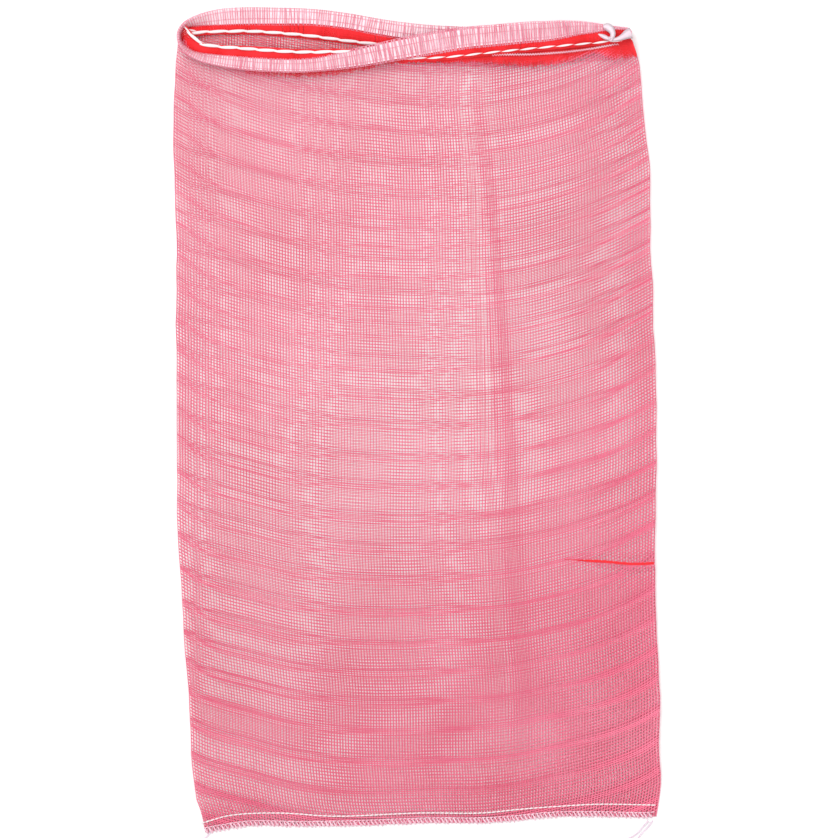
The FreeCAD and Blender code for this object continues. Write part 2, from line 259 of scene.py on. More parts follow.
# the bottom edge and its seam, and the two halves of the mouth's stitch line
bottomLine = through([
    (-202, -389), (-183, -385.6), (-154, -381.8), (-112, -382.4), (-57, -381.6), (14, -379),
    (60, -379), (93, -377), (129, -373.6), (165, -373), (211, -374), (226, -373.4),
])
seamLine = through([
    (-203, -380), (-173, -372), (-128, -370), (-75, -373), (4, -370), (61, -370),
    (98, -366.5), (136, -363.6), (174, -361.7), (226, -362.5),
])
backStitch = through([
    (-214, 360), (-189, 367), (-146, 366.4), (-104, 362.7), (-71, 357.5), (-41, 354),
    (0, 350), (60, 348), (110, 350), (160, 353), (200, 355),
])
frontStitch = through([
    (-214, 358), (-200, 351), (-165, 348.3), (-118, 345.7), (-73, 346.7), (-40, 345), (-2, 339.4),
    (28, 341), (62, 344.8), (96, 348), (130, 350.4), (179, 355), (202, 357),
])

bagShape = {
    "thick": 7.0 * mm,  # from the back panel to the front one
    "seamThick": 1.7 * mm,
    "seamReach": 48 * mm,  # over which the bag swells from its seam
    "floor": 0.35 * mm,
    "wave": 1.2 * mm,
    "drift": 3 * mm,  # how far rows wander up and down
    "edgeWave": 1.3 * mm,
    "creaseReach": 13 * mm,
    "creaseFar": 24 * mm,
    "creaseRise": 1.0 * mm,
    "creaseShift": 3.6 * mm,  # opens the net on the crease's left and closes it on its right
    "pinchLine": -133 * mm,
    "pinchStart": 140 * mm,
    "pinchReach": 9 * mm,
    "pinchBend": 3 * mm,
    "pinchPull": 0.95,
    "pinchRise": 1.6 * mm,
}
crease = through([
    (-320, 89), (-200, 86), (-100, 80), (-28, 75.6),
    (57, 71), (141, 65.6), (226, 60), (300, 54),
])


def creaseShare(y):
    # the crease is sharp across the middle and soft towards the mouth and the seam
    middle = smooth(-120 * mm, -20 * mm, y) * smooth(290 * mm, 200 * mm, y)
    return (0.4 + 0.6 * middle) * smooth(-340 * mm, -260 * mm, y) * smooth(335 * mm, 310 * mm, y)


def panelPoint(front, u, v, climb=0):
    # u runs across from fold to fold and v up from the bottom edge to the mouth's stitches
    s = bagShape
    mouth = frontStitch if front else backStitch
    across = 2 * u - 1
    rise = climb * abs(across) ** 3
    x = left + u * (right - left)
    for _ in range(3):
        y = bottomLine(x) + v * (mouth(x) - bottomLine(x)) + rise
        west = left + leftInset(y)
        east = right - rightInset(y)
        x = west + u * (east - west)
    shift = noise.noise(Vector((x * 9, y * 5, 3.0 if front else 11.0)))
    y += shift * s["drift"] * smooth(0, 0.1, v) * smooth(1, 0.9, v)
    edgeWave = noise.noise(Vector((7.0 * across, y * 28, 5.0))) * s["edgeWave"]
    x += edgeWave * abs(across) ** 4
    # rise from the fold to the panel's level
    seamShare = smooth(0, 1, (y - seamLine(x)) / s["seamReach"])
    thick = s["seamThick"] + (s["thick"] - s["seamThick"]) * seamShare
    radius = thick / 2
    inFrom = (1 - abs(across)) * (right - left) / 2
    lift = math.sqrt(max(0, 1 - (1 - min(inFrom / radius, 1)) ** 2))
    middle = s["floor"] + radius
    z = middle + (radius if front else -radius) * lift
    if front:
        calm = smooth(0, 0.05, 1 - abs(across)) * smooth(0, 0.08, v) * smooth(1, 0.95, v)
        z += noise.noise(Vector((x * 11, y * 15, 0.5))) * s["wave"] * calm
        line = crease(y)
        share = creaseShare(y)
        beside = x - line + s["creaseShift"] * share
        reach = s["creaseFar"] if beside > 0 else s["creaseReach"]
        near = share * max(0, 1 - abs(beside) / reach)
        z += s["creaseRise"] * near
        x += s["creaseShift"] * near
        pinch = smooth(s["pinchStart"], right, x)
        off = y - s["pinchLine"] + s["pinchBend"] * pinch
        if abs(off) < s["pinchReach"] and pinch > 0:
            pull = min(1, 2 * pinch) ** 0.5 * (1 - (abs(off) / s["pinchReach"]) ** 2)
            y -= off * pull * s["pinchPull"]
            z += s["pinchRise"] * pull * pinch**0.5
    return Vector((x, y, z))


def placed(name, data):
    made = bpy.data.objects.new(name, data)
    scene.collection.objects.link(made)
    return made


# a yarn's section is a low triangle and a tape's a flat diamond
yarnSection = [(-1, -0.5), (1, -0.5), (0, 1)]
tapeSection = [(-1, 0), (0, -1), (1, 0), (0, 1)]
weldGap = 0.002 * mm


def makeProfile(section, width, thick):
    data = bpy.data.curves.new("profile", "CURVE")
    data.dimensions = "2D"
    spline = data.splines.new("POLY")
    spline.points.add(len(section) - 1)
    for point, (x, y) in zip(spline.points, section):
        point.co = (x * width / 2, y * thick / 2, 0, 1)
    spline.use_cyclic_u = True
    return placed("profile", data)


def closeMesh(mesh):
    # joins each end cap to its tube and turns the faces outwards
    build = bmesh.new()
    build.from_mesh(mesh)
    bmesh.ops.remove_doubles(build, verts=build.verts, dist=weldGap)
    bmesh.ops.recalc_face_normals(build, faces=build.faces)
    build.to_mesh(mesh)
    build.free()
    mesh.polygons.foreach_set("use_smooth", [True] * len(mesh.polygons))


def fromBuild(name, build, rounded=True):
    mesh = bpy.data.meshes.new(name)
    build.to_mesh(mesh)
    build.free()
    mesh.polygons.foreach_set("use_smooth", [rounded] * len(mesh.polygons))
    return placed(name, mesh)


def fromCurve(name, data, profile):
    # the curve, swept with its profile, as one closed mesh
    temporary = placed(name + "Curve", data)
    bpy.context.view_layer.update()
    evaluated = temporary.evaluated_get(bpy.context.evaluated_depsgraph_get())
    mesh = bpy.data.meshes.new_from_object(evaluated)
    mesh.name = name
    bpy.data.objects.remove(temporary)
    if profile:
        bpy.data.objects.remove(profile)
    closeMesh(mesh)
    return placed(name, mesh)


def makeYarns(name, lines, width, thick, closed=False, flat=True):
    # each line is a run of points, with a share of the width as a fourth number
    data = bpy.data.curves.new(name, "CURVE")
    data.dimensions = "3D"
    data.twist_mode = "Z_UP" if flat else "MINIMUM"
    data.use_fill_caps = True
    profile = None
    if flat:
        profile = makeProfile(yarnSection, width, thick)
        data.bevel_mode = "OBJECT"
        data.bevel_object = profile
    else:
        data.bevel_depth = width / 2
        data.bevel_resolution = 0
    for line in lines:
        spline = data.splines.new("POLY")
        spline.points.add(len(line) - 1)
        for point, place in zip(spline.points, line):
            point.co = (*place[:3], 1)
            if len(place) > 3:
                point.radius = place[3]
        spline.use_cyclic_u = closed
    return fromCurve(name, data, profile)


def joined(name, parts):
    build = bmesh.new()
    for part in parts:
        build.from_mesh(part.data)
        bpy.data.objects.remove(part)
    return fromBuild(name, build)


def finishPiece(made, material, nodes, body="bag"):
    made.data.materials.clear()
    made.data.materials.append(material)
    if body:
        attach(made, body)
    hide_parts(*nodes)
    triangles = sum(len(p.vertices) - 2 for p in made.data.polygons)
    print(made.name, "triangles", triangles)
    return made


meshSettings = {
    "wales": 166, "courses": 292, "waleSteps": 70, "courseSteps": 60,
    "waleWidth": 0.6 * mm, "waleThick": 0.28 * mm, "courseWidth": 0.52 * mm, "courseThick": 0.2 * mm,
    "band": 28.4 * mm, "firstBand": 12 * mm, "bunch": 0.48, "bandDepth": 4.6 * mm, "fuller": 0.42,
    "backSkew": 0.004, "frontSeed": 4, "backSeed": 17,
    "sway": 0.25 * mm, "waleLift": 0.12 * mm,  # lengthways yarns lie over the rows
    "climb": 44 * mm,  # how far a row rises at each fold
    "under": 0.055,  # rows that start below the seam and only show beside the folds
}


def coursePlaces(count, seed, s):
    # rows bunch together every few centimetres
    draw = random.Random(seed)
    length = bodyHigh.y - bodyLow.y
    bands = []
    y = s["firstBand"]
    while y < length:
        bands.append((y, draw.uniform(0.75, 1.0)))
        y += s["band"] * draw.uniform(0.93, 1.07)
    rows = []
    total = 0.0
    for i in range(count):
        y = i / count * length
        close = min(1, sum(k * math.exp(-(((y - place) / s["bandDepth"]) ** 2)) for place, k in bands))
        total += 1 - s["bunch"] * close + draw.uniform(-0.05, 0.05)
        rows.append((total, 1 + s["fuller"] * close))
    return [(step / (total + 1), full) for step, full in rows]


def foldSteps(count):
    # closer points at the two folds, where a row turns round the edge
    near = [0, 0.3, 0.9, 1.8, 3.2, 6]
    width = (right - left) / mm
    inner = [6 / width + (1 - 12 / width) * i / count for i in range(1, count)]
    return [d / width for d in near] + inner + [1 - d / width for d in reversed(near)]


fullness = {
    "plain": 0.97, "low": 0.32, "east": 0.24, "fold": 0.12, "corner": 0.06, "seam": 0.5,
    "creaseShadeRight": 0.2, "creaseTail": 18 * mm, "creaseLitLeft": 0.22, "creaseSoft": 7 * mm,
}


def denser(place):
    # yarns lie fuller towards the lower right and in the seam's layers; beside the crease they are painted
    # shade on its right flank and painted light on its left
    s = fullness
    low = smooth(60 * mm, -320 * mm, place.y)
    full = s["plain"] + s["low"] * low
    full += s["east"] * smooth(60 * mm, 215 * mm, place.x)
    full += s["fold"] * smooth(185 * mm, 222 * mm, place.x)
    full += s["corner"] * low * smooth(-60 * mm, 120 * mm, place.x)
    # fuller yarns right of the crease are painted shade on that flank, and thinner ones left of it are
    # painted light
    beside = place.x - crease(place.y)
    if beside > 0:
        full += s["creaseShadeRight"] * creaseShare(place.y) * math.exp(-beside / s["creaseTail"])
    else:
        full -= s["creaseLitLeft"] * creaseShare(place.y) * math.exp(beside / s["creaseSoft"])
    if place.y < seamLine(place.x):
        full += s["seam"]
    return full


def makeWales(front, s):
    side = "front" if front else "back"
    skew = 0 if front else s["backSkew"]
    wales = []
    for i in range(s["wales"] + 1):
        u = i / s["wales"]
        line = []
        for j in range(s["waleSteps"] + 1):
            v = j / s["waleSteps"]
            place = panelPoint(front, min(max(u + skew * (v - 0.5), 0), 1), v)
            sway = noise.noise(Vector((u * 90, v * 60, 9.0))) * s["sway"]
            line.append((place.x + sway, place.y, place.z + s["waleLift"], denser(place)))
        wales.append(line)
    return makeYarns(side + "Wales", wales, s["waleWidth"], s["waleThick"])


def makeCourses(front, s):
    # each row is cut where it passes the bottom edge or the mouth's stitches
    side = "front" if front else "back"
    courses = []
    mouth = frontStitch if front else backStitch
    steps = foldSteps(s["courseSteps"])
    for v, full in coursePlaces(s["courses"], s[side + "Seed"], s):
        line = []
        for u in steps:
            place = panelPoint(front, u, v - s["under"] * (1 - v), s["climb"])
            inside = bottomLine(place.x) < place.y < mouth(place.x)
            if inside:
                edge = smooth(0.5, 1, abs(2 * u - 1))
                width = denser(place) * (1 + (full - 1) * (0.8 + 0.8 * edge))  # bands show most at the folds
                line.append((*place, width))
            if line and (not inside or u == steps[-1]):
                if len(line) > 2:
                    courses.append(line)
                line = []
    return makeYarns(side + "Courses", courses, s["courseWidth"], s["courseThick"])


def makePanel(front, s):
    made = joined("frontNet" if front else "backNet", [makeWales(front, s), makeCourses(front, s)])
    return finishPiece(made, netMaterial, ["mesh_body"])


frontNet = makePanel(True, meshSettings)
backNet = makePanel(False, meshSettings)

foldLine = through([
    (140, -131), (161, -132.2), (180, -133.2), (197, -134.9), (212, -135.2), (227, -134.2),
])
foldSettings = {
    "start": 140 * mm, "grow": 30 * mm, "steps": 40, "strands": 9, "width": 0.6 * mm,
    "wide": 0.85 * mm, "lift": 0.5 * mm, "over": 2.0 * mm, "ragged": 0.35 * mm,
}


def makeFold(s):
    # the front net is nipped into one thin pleat that runs out to the right fold
    share = (bagShape["pinchLine"] - bottomLine(0)) / (frontStitch(0) - bottomLine(0))
    strands = []
    for k in range(s["strands"]):
        side = 2 * k / (s["strands"] - 1) - 1
        line = []
        for i in range(s["steps"] + 1):
            x = s["start"] + (right - 1 * mm - s["start"]) * i / s["steps"]
            near = smooth(s["start"], s["start"] + s["grow"], x)
            ragged = s["ragged"] * noise.noise(Vector((x * 400, side * 3, 7)))
            y = foldLine(x) + side * s["wide"] * near + ragged
            level = panelPoint(True, (x - left) / (right - left), share).z + s["over"] * near
            line.append((x, y, level + s["lift"] * (1 - side**2), 0.3 + 0.8 * near))
        strands.append(line)
    made = makeYarns("pinchFold", strands, s["width"], 0, flat=False)
    return finishPiece(made, denseMaterial, ["mesh_body"])


pinchFold = makeFold(foldSettings)
print("mesh panels made")


# the hem is a tunnel round the mouth, with the tape inside and a gathered strip down to its stitches
# each station in mm: middle of the tunnel, its half width, its lean in degrees, and the stitch beside it
hemStations = [
    (199, 362, 4.8, 4.0, 25, 195, 355.4, 3.2),
    (184, 364.0, 3.9, 6.6, 0, 184, 354.2, 2.2),
    (140, 365.0, 3.3, 8.2, 0, 140, 352.0, 1.6),
    (100, 362.5, 3.2, 8.2, 0, 100, 349.5, 1.6),
    (60, 361.6, 3.2, 8.2, 0, 60, 348.5, 1.6),
    (20, 363.0, 3.2, 8.2, 0, 20, 349.0, 1.6),
    (-13, 366.4, 3.2, 8.0, 0, -14, 351.2, 1.6),
    (-36, 370.0, 3.2, 7.8, 0, -36, 353.6, 1.8),
    (-66, 375.4, 3.2, 7.6, 0, -66, 357.0, 2.0),
    (-98, 379.0, 3.3, 7.8, 0, -98, 361.4, 2.2),
    (-126, 379.6, 3.4, 8.2, 0, -124, 363.8, 2.4),
    (-156, 379.8, 3.6, 8.4, 5, -154, 365.8, 2.7),
    (-178, 379.0, 4.2, 8.2, 12, -176, 365.6, 3.1),
    (-194, 377.2, 5.4, 7.4, 30, -192, 365.4, 3.6),
    (-206, 374.8, 7.0, 6.6, 50, -204, 364.2, 4.4),
    (-215.6, 371.2, 8.4, 6.2, 70, -213.4, 363.8, 6.2),
    (-221.2, 365.4, 9.0, 6.0, 82, -217.8, 370.4, 8.4),
    (-222.0, 358.6, 9.4, 5.8, 82, -211.8, 361.8, 9.6),
    (-219.2, 351.8, 10.0, 5.6, 72, -205.4, 354.8, 10.4),
    (-212.6, 345.6, 10.6, 5.6, 60, -198, 351.8, 10.8),
    (-202, 341.0, 11.0, 5.8, 45, -190, 350.6, 11.0),
    (-188, 338.2, 11.2, 6.2, 30, -178, 349.8, 11.3),
    (-168, 335.6, 11.3, 6.4, 12, -160, 348.6, 11.6),
    (-142, 333.4, 11.4, 6.5, 0, -140, 346.8, 11.8),
    (-111, 332.6, 11.4, 6.5, 0, -111, 345.2, 11.8),
    (-88, 334.4, 11.4, 7.0, 0, -88, 345.2, 11.6),
    (-70, 337.3, 11.4, 8.2, 0, -70, 345.8, 11.4),
    (-50, 340.8, 11.4, 9.2, 0, -50, 345.0, 10.0),
    (-15, 347.8, 11.3, 10.2, 0, -15, 340.4, 9.2),
    (15, 353.4, 11.2, 10.6, 0, 15, 339.8, 9.2),
    (45, 358.2, 11.0, 10.3, 0, 45, 342.2, 9.4),
    (76, 361.1, 10.8, 10.0, 0, 76, 345.6, 9.6),
    (106, 363.9, 10.7, 9.8, 0, 106, 348.4, 9.7),
    (122, 364.8, 10.7, 9.4, 0, 122, 350.0, 9.8),
    (136, 366.2, 10.6, 8.5, 0, 136, 351.2, 9.8),
    (151, 367.8, 10.5, 6.8, 5, 151, 352.6, 9.8),
    (166, 368.2, 10.4, 5.0, 10, 166, 353.8, 9.7),
    (180, 368.2, 10.2, 2.6, 20, 180, 355.2, 9.5),
    (192, 367.6, 9.4, 1.4, 40, 191, 356.6, 8.8),
    (200.4, 366.8, 7.4, 1.3, 50, 198.4, 357.0, 6.2),
]
hemSettings = {
    "ribs": 380, "ribSteps": 12, "rows": 9, "rowSteps": 260,
    "half": 1.5 * mm, "puff": 0.22, "squareness": 0.75, "ribWidth": 1.1 * mm, "rowWidth": 0.5 * mm,
    "backFull": 0.72, "frontFuller": 0.4,  # ribs are stretched thin along the back
}
tapeSettings = {"steps": 240, "share": 0.82, "thick": 0.7 * mm, "crimp": 0.25 * mm, "weld": 0.05 * mm}
stripSettings = {
    "ribs": 860, "rows": 7, "ribWidth": 1.05 * mm, "rowWidth": 0.6 * mm,
    "inset": 0.8, "beyond": 3 * mm, "rowLift": 0.2 * mm,
}


def hemAt(t):
    # the station at share t of the way round, on a smooth closed run through the list
    count = len(hemStations)
    place = (t % 1) * count
    i = int(place)
    f = place - i
    before, start, end, after = (hemStations[(i + k) % count] for k in (-1, 0, 1, 2))
    out = []
    for a, b, c, d in zip(before, start, end, after):
        out.append(b + 0.5 * f * (c - a + f * (2 * a - 5 * b + 4 * c - d + f * (3 * (b - c) + d - a))))
    return out


def hemFrame(t):
    # middle, way across, way up, half width and stitch at share t
    now, ahead, behind = hemAt(t), hemAt(t + 0.0008), hemAt(t - 0.0008)
    middle = Vector(now[:3]) * mm
    run = Vector([a - b for a, b in zip(ahead[:3], behind[:3])]).normalized()
    flat = Vector((run.x, run.y, 0)).normalized()
    outward = Vector((flat.y, -flat.x, 0))  # the run goes left along the back
    lean = math.radians(now[4])
    wide = (outward * math.cos(lean) + Vector((0, 0, 1)) * math.sin(lean)).normalized()
    up = run.cross(wide).normalized()
    if up.z < 0:
        up = -up
    return middle, wide, up, now[3] * mm, Vector(now[5:8]) * mm


def evenRing(count):
    # shares of the way round whose middles are evenly spaced
    fine = 2400
    run = [0.0]
    total = 0.0
    last = hemFrame(0)[0]
    for i in range(1, fine + 1):
        here = hemFrame(i / fine)[0]
        total += (here - last).length
        run.append(total)
        last = here
    shares = []
    for k in range(count):
        i = bisect.bisect_right(run, total * k / count) - 1
        shares.append(i / fine)
    return shares


def tunnelPoint(t, angle, s):
    middle, wide, up, half, _ = hemFrame(t)
    side = math.cos(angle)
    puff = 1 + s["puff"] * noise.noise(Vector((t * 60, 0.3, 2.0)))
    across = half * math.copysign(abs(side) ** s["squareness"], side)
    return middle + wide * across + up * s["half"] * puff * math.sin(angle)


def makeTunnel(s):
    ribs = []
    rows = []
    draw = random.Random(8)
    for t in evenRing(s["ribs"]):
        place = t + draw.uniform(-1, 1) * 0.0004
        lean = draw.uniform(-1, 1) * 0.0006
        full = draw.uniform(0.75, 1.3) * (s["backFull"] + s["frontFuller"] * smooth(0.3, 0.85, t))
        angles = [2 * math.pi * k / s["ribSteps"] for k in range(s["ribSteps"])]
        ribs.append([(*tunnelPoint(place + lean * math.cos(a), a, s), full) for a in angles])
    for k in range(s["rows"]):
        angle = 2 * math.pi * (k + 0.5) / s["rows"]
        rows.append([tunnelPoint(i / s["rowSteps"], angle, s) for i in range(s["rowSteps"])])
    ribMesh = makeYarns("hemRibs", ribs, s["ribWidth"], 0, closed=True, flat=False)
    rowMesh = makeYarns("hemRows", rows, s["rowWidth"], 0, closed=True, flat=False)
    # ribs and rows take the pale painted-highlight copy of the yarn colour
    return [finishPiece(made, highlightRibMaterial, ["mouth_hem"]) for made in (ribMesh, rowMesh)]


def makeTape(s):
    # one flat band that goes round inside the tunnel
    build = bmesh.new()
    bmesh.ops.create_grid(build, x_segments=s["steps"], y_segments=4, size=1)
    for vert in build.verts:
        t = (vert.co.x + 1) / 2
        middle, wide, up, half, _ = hemFrame(t)
        crimp = s["crimp"] * noise.noise(Vector((t * 300, vert.co.y * 2, 1.0)))
        vert.co = middle + wide * half * s["share"] * vert.co.y + up * crimp
    bmesh.ops.remove_doubles(build, verts=build.verts, dist=s["weld"])
    bmesh.ops.recalc_face_normals(build, faces=build.faces)
    made = fromBuild("drawstringTape", build, rounded=False)
    solid = made.modifiers.new("thickness", "SOLIDIFY")
    solid.thickness = s["thick"]
    solid.offset = 0
    # the tape inside the tunnel takes the painted-light copy of the tape colour
    finishPiece(made, litInnerTapeMaterial, ["drawstring_loop"])


def makeStitchStrip(s):
    # the gathered, many-layered strip between the tunnel and its stitches
    lines = []
    for t in evenRing(s["ribs"]):
        middle, wide, up, half, stitch = hemFrame(t)
        inner = middle - wide * half * s["inset"]
        if (stitch - middle).dot(wide) > 0:
            inner = middle + wide * half * s["inset"]  # past the twist the stitches lie on the other side
        beyond = stitch + (stitch - inner).normalized() * s["beyond"]
        lines.append([inner, (inner + stitch) / 2, beyond])
    ribMesh = makeYarns("hemGatherRibs", lines, s["ribWidth"], 0, flat=False)
    rows = []
    lift = Vector((0, 0, s["rowLift"]))
    for k in range(s["rows"]):
        share = (k + 0.5) / s["rows"]
        rows.append([line[0].lerp(line[2], share) + lift for line in lines[::4]])
    rowMesh = makeYarns("hemGatherRows", rows, s["rowWidth"], 0, closed=True, flat=False)
    return [finishPiece(made, denseMaterial, ["mouth_hem"]) for made in (ribMesh, rowMesh)]


hemPieces = makeTunnel(hemSettings) + makeStitchStrip(stripSettings)
makeTape(tapeSettings)

# below its stitches the net stays gathered and dense, down to an uneven line
gatherLine = through([
    (-160, 325.6), (-111, 322.8), (-88, 323.8), (-70, 326), (-50, 329.4), (-30, 334.6),
    (0, 336.6), (32, 336.8), (64, 336.2), (95, 333.4), (118, 332.4), (142, 337), (158, 342.4),
    (168, 344.4), (178, 341), (185, 339), (196, 340), (207, 341.6),
])
cornerEdge = through([(198, 364), (202.2, 358.5), (204.7, 353.4), (206.4, 346.3), (209, 342)])
rawEdge = through([(60, 341.5), (82, 343), (110, 343.4), (142, 345.7), (165, 348.7), (187, 352.7)])
gatherSettings = {
    "west": -160 * mm, "east": 207.5 * mm, "over": 2.2 * mm, "ragged": 2.2 * mm, "level": 8.1 * mm,
    "spacing": 1.1 * mm, "width": 0.95 * mm, "thick": 0.35 * mm, "fall": 0.7 * mm, "sway": 0.6 * mm,
    "rows": 12, "rowWidth": 0.75 * mm, "rowThick": 0.3 * mm, "rowLift": 0.15 * mm,
}
turningSettings = {
    "west": -206 * mm, "east": 190 * mm, "spacing": 2.7 * mm, "depth": 15 * mm, "level": 1.9 * mm,
    "width": 0.6 * mm, "thick": 0.3 * mm, "rows": 7, "rowThick": 0.25 * mm,
}
edgeSettings = {
    "west": 72 * mm, "east": 192 * mm, "fadeIn": 23 * mm, "fadeOut": 12 * mm,
    "pitch": 2.4 * mm, "width": 1.45 * mm, "rise": 1.4 * mm, "level": 9.6 * mm,
}


def makeGather(s):
    draw = random.Random(31)
    count = int((s["east"] - s["west"]) / s["spacing"])
    lines = []
    edges = []
    for i in range(count + 1):
        x = s["west"] + (s["east"] - s["west"]) * i / count
        high = min(frontStitch(x) + s["over"], cornerEdge(x))
        low = gatherLine(x) + draw.uniform(-1, 0.6) * s["ragged"]
        sway = s["sway"] * noise.noise(Vector((x * 120, 1, 4)))
        edges.append((x, high, low))
        line = []
        for k in range(5):
            share = k / 4
            full = 1.15 - 0.75 * smooth(0.7, 1, share)
            y = high + (low - high) * share
            line.append((x + sway * share, y, s["level"] - s["fall"] * share, full))
        lines.append(line)
    rows = []
    for k in range(s["rows"]):
        share = (k + 0.3) / s["rows"]
        full = 1.1 - 0.6 * smooth(0.6, 1, share)
        level = s["level"] + s["rowLift"] - s["fall"] * share
        rows.append([(x, high + (low - high) * share, level, full) for x, high, low in edges[::2]])
    ribMesh = makeYarns("gatherRibs", lines, s["width"], s["thick"])
    rowMesh = makeYarns("gatherRows", rows, s["rowWidth"], s["rowThick"])
    return [finishPiece(made, denseMaterial, ["mouth_hem"]) for made in (ribMesh, rowMesh)]


def makeBackTurning(s):
    # the turned-in edge that shows inside the mouth, one more layer of net
    count = int((s["east"] - s["west"]) / s["spacing"])
    xs = [s["west"] + (s["east"] - s["west"]) * i / count for i in range(count + 1)]
    lines = [[(x, backStitch(x) - s["depth"] * k / 3, s["level"]) for k in range(4)] for x in xs]
    rows = []
    for k in range(1, s["rows"] + 1):
        drop = s["depth"] * k / s["rows"]
        rows.append([(x, backStitch(x) - drop, s["level"]) for x in xs])
    ribMesh = makeYarns("turningRibs", lines, s["width"], s["thick"])
    rowMesh = makeYarns("turningRows", rows, s["width"], s["rowThick"])
    # the turning takes the painted-light copy of the net colour
    return [finishPiece(made, litTurningMaterial, ["mouth_hem"]) for made in (ribMesh, rowMesh)]


def makeRawEdge(s):
    # the cut edge of the turning presses through as a fine serrated line, drawn in the pale overlock colour
    # as a painted highlight along the fold
    line = []
    x = s["west"]
    up = 1
    while x < s["east"]:
        near = smooth(s["west"] - 2 * mm, s["west"] + s["fadeIn"], x)
        near *= smooth(s["east"] + 2 * mm, s["east"] - s["fadeOut"], x)
        line.append((x, rawEdge(x) + up * s["rise"] / 2, s["level"], 0.4 + 0.6 * near))
        x += s["pitch"] / 2
        up = -up
    made = makeYarns("turningEdge", [line], s["width"], 0, flat=False)
    return [finishPiece(made, overlockMaterial, ["mouth_hem"])]


hemPieces += makeGather(gatherSettings) + makeRawEdge(edgeSettings)
turningPieces = makeBackTurning(turningSettings)
print("hem made")


def makeStitches(name, places, s, material, nodes):
    # a row of pointed stitches, each from its start to its end
    build = bmesh.new()
    up = Vector((0, 0, 1))
    for start, end in places:
        run = end - start
        made = bmesh.ops.create_uvsphere(build, u_segments=s["round"], v_segments=s["along"], radius=1)
        side = up.cross(run).normalized()
        rise = run.normalized().cross(side)
        middle = (start + end) / 2
        for vert in made["verts"]:
            x, y, z = vert.co
            taper = 1 - abs(z) ** s["point"]
            vert.co = (
                middle + run * 0.5 * z * s["overlap"] + side * s["slant"] * z
                + side * y * s["width"] / 2 * taper + rise * x * s["thick"] / 2 * taper
            )
    bmesh.ops.recalc_face_normals(build, faces=build.faces)
    return finishPiece(fromBuild(name, build), material, nodes)


chainSettings = {
    "length": 17.4 * mm, "width": 3.1 * mm, "thick": 1.5 * mm, "slant": 0.55 * mm,
    "overlap": 1.28, "point": 5.0, "round": 8, "along": 10,
}
dashSettings = {
    "length": 17.0 * mm, "width": 2.0 * mm, "thick": 0.9 * mm, "slant": 0.45 * mm,
    "overlap": 1.06, "point": 3.0, "round": 8, "along": 10,
}
endSettings = dict(chainSettings, width=1.6 * mm, thick=0.9 * mm, overlap=1.0)
stitchLine = {
    "frontFrom": 0.56, "twistWest": -70 * mm, "twistEast": -30 * mm,
    "above": 1.3 * mm, "below": 0.9 * mm,
}


def hemStitchRun(length, outside, s):
    # evenly spaced stitches along the hem's stitch line, on its inner or its outer face
    fine = 2000
    stitches = []
    run = 0.0
    start = hemFrame(0)[4]
    last = start
    for i in range(1, fine + 1):
        t = i / fine
        end = hemFrame(t)[4]
        run += (end - last).length
        last = end
        if run >= length or i == fine:
            inner = 1.0
            if t > s["frontFrom"]:  # the twist brings the inner face down on the front
                inner = 1 - 2 * smooth(s["twistWest"], s["twistEast"], (start.x + end.x) / 2)
            side = -inner if outside else inner
            lift = Vector((0, 0, side * (s["above"] if side > 0 else s["below"])))
            stitches.append((start + lift, end + lift))
            start = end
            run = 0.0
    return stitches


chainRun = hemStitchRun(chainSettings["length"], False, stitchLine)
makeStitches("hemChain", chainRun, chainSettings, threadMaterial, ["hem_looper_thread"])
cornerRun = [(Vector((-218.4, 371.8, 9.4)) * mm, Vector((-210.6, 361.0, 11.4)) * mm)]
makeStitches("hemChainEnd", cornerRun, endSettings, threadMaterial, ["hem_looper_thread"])
dashRun = hemStitchRun(dashSettings["length"], True, stitchLine)
makeStitches("hemDashes", dashRun, dashSettings, threadMaterial, ["hem_needle_thread"])

seamSettings = {
    "west": -202.4 * mm, "east": 226 * mm, "top": 0.45 * mm, "under": 0.4 * mm,
    "length": 4.4 * mm, "width": 1.5 * mm, "thick": 0.8 * mm, "slant": 0.15 * mm,
    "overlap": 1.12, "point": 4.0, "round": 6, "along": 6,
}
seamTop = bagShape["seamThick"] + bagShape["floor"] + seamSettings["top"]
overlockSettings = {
    "west": -198.4 * mm, "east": 225 * mm, "pitch": 3.9 * mm, "depth": 4.5 * mm, "thread": 1.05 * mm,
    "lean": 2.6 * mm, "under": 1.1 * mm, "edge": 1.3 * mm, "topSeed": 21, "underSeed": 22,
}


def seamRun(line, z, length, s):
    # stitches of one length, end to end along a line
    count = round((s["east"] - s["west"]) / length)
    xs = [s["west"] + (s["east"] - s["west"]) * i / count for i in range(count + 1)]
    ends = [Vector((x, line(x), z)) for x in xs]
    return list(zip(ends, ends[1:]))


needleRun = seamRun(seamLine, seamTop, seamSettings["length"], seamSettings)
makeStitches("seamNeedle", needleRun, seamSettings, threadMaterial, ["seam_needle_thread"])
looperRun = seamRun(seamLine, seamSettings["under"], seamSettings["length"], seamSettings)
makeStitches("seamChain", looperRun, seamSettings, threadMaterial, ["seam_looper_thread"])


